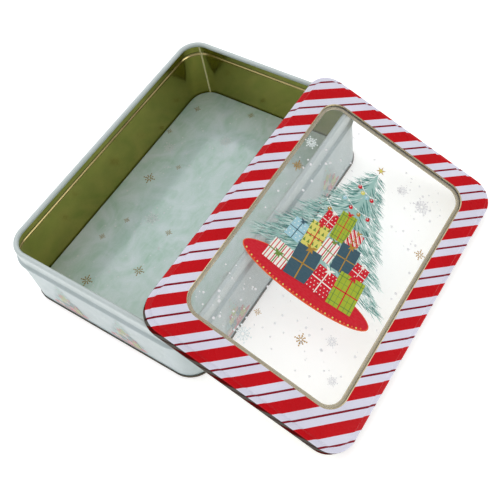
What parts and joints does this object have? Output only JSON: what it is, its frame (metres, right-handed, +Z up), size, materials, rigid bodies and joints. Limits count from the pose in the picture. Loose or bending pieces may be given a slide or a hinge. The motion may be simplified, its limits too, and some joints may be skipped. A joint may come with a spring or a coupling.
{
  "type": "cookie tin",
  "caption": "Rectangular rounded-corner sheet-metal cookie tin with a curled rim, opened, its loose hemmed lid with a clear window leaning on one rim.",
  "frame": {"origin": "on the table, under the middle of the tin and its leaning lid taken together", "axes": "+X from the tin towards the foot of the leaning lid, along the short sides; +Y along the long sides; +Z up"},
  "size_m": [0.2982, 0.258, 0.0841],
  "materials": {
    "printed_wall": "pale mint print outside, gold lacquer inside",
    "printed_floor": "glossy pale mint print",
    "striped_lid": "glossy red and white stripes",
    "gold_ring": "gold lacquer",
    "clear_sheet": "clear, with a printed tree"
  },
  "bodies": {
    "tin": {"tin_wall": "printed_wall", "bottom_panel": "printed_floor"},
    "lid": {"lid_frame": "striped_lid", "window_ring": "gold_ring", "lid_window": "clear_sheet"}
  },
  "joints": [
    {"name": "lid_lift", "type": "slide", "parent": "tin", "child": "lid", "axis": [0, 0, 1], "range_m": [0, 0.12]}
  ]
}
